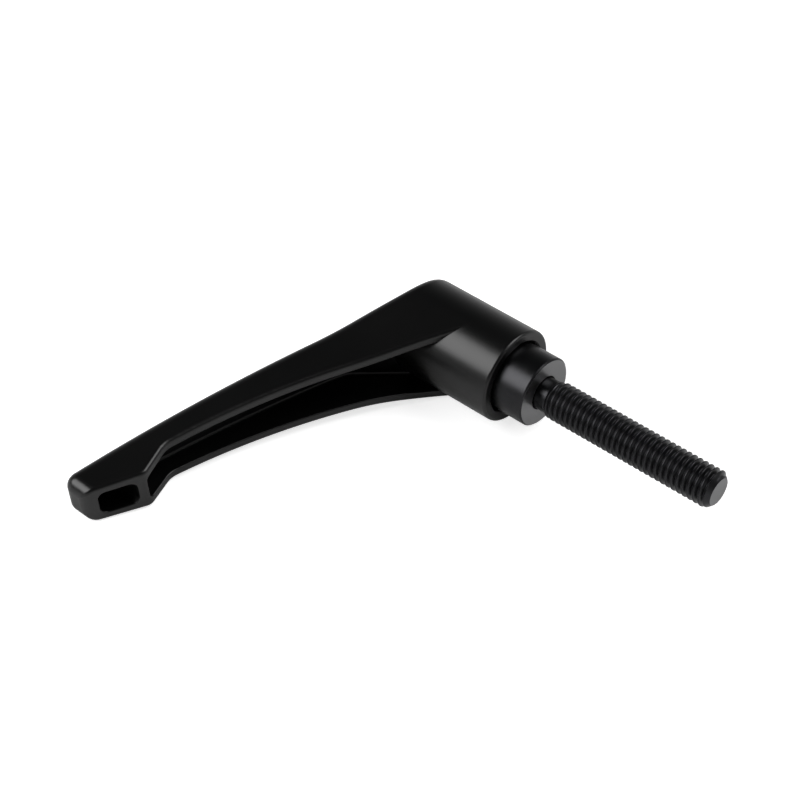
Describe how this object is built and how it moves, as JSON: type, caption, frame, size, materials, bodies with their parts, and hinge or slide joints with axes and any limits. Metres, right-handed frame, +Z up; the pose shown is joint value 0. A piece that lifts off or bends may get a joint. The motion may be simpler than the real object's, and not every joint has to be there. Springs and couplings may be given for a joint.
{
  "type": "adjustable clamping lever",
  "caption": "Adjustable clamping lever: slim die-cast arm with an open channel, bent up from a round hub on a toothed insert with a threaded stud.",
  "frame": {"origin": "centre of the insert's clamping face, on the stud axis", "axes": "+X along the stud from the clamping face to its end, the arm points to -Y, +Z up when the lever lies on its side"},
  "size_m": [0.0956, 0.0877, 0.02],
  "materials": {
    "coated_casting": "die-cast zinc alloy with a black powder coat, satin",
    "black_steel": "turned steel, black oxide, lightly oiled",
    "spring_steel": "bright drawn spring wire"
  },
  "bodies": {
    "insert": {"toothed_insert": "black_steel", "threaded_stud": "black_steel", "retaining_screw": "black_steel"},
    "spring_seat": {"spring": "spring_steel"},
    "lever": {"lever": "coated_casting"}
  },
  "joints": [
    {"name": "index_turn", "type": "hinge", "parent": "insert", "child": "spring_seat", "pos_m": [0, 0, 0], "axis": [-1, 0, 0], "continuous": true},
    {"name": "lift", "type": "slide", "parent": "spring_seat", "child": "lever", "axis": [-1, 0, 0], "range_m": [0, 0.0045], "stiffness_N_per_m": 4000, "springref_m": -0.0026, "deforming": ["spring"]}
  ]
}
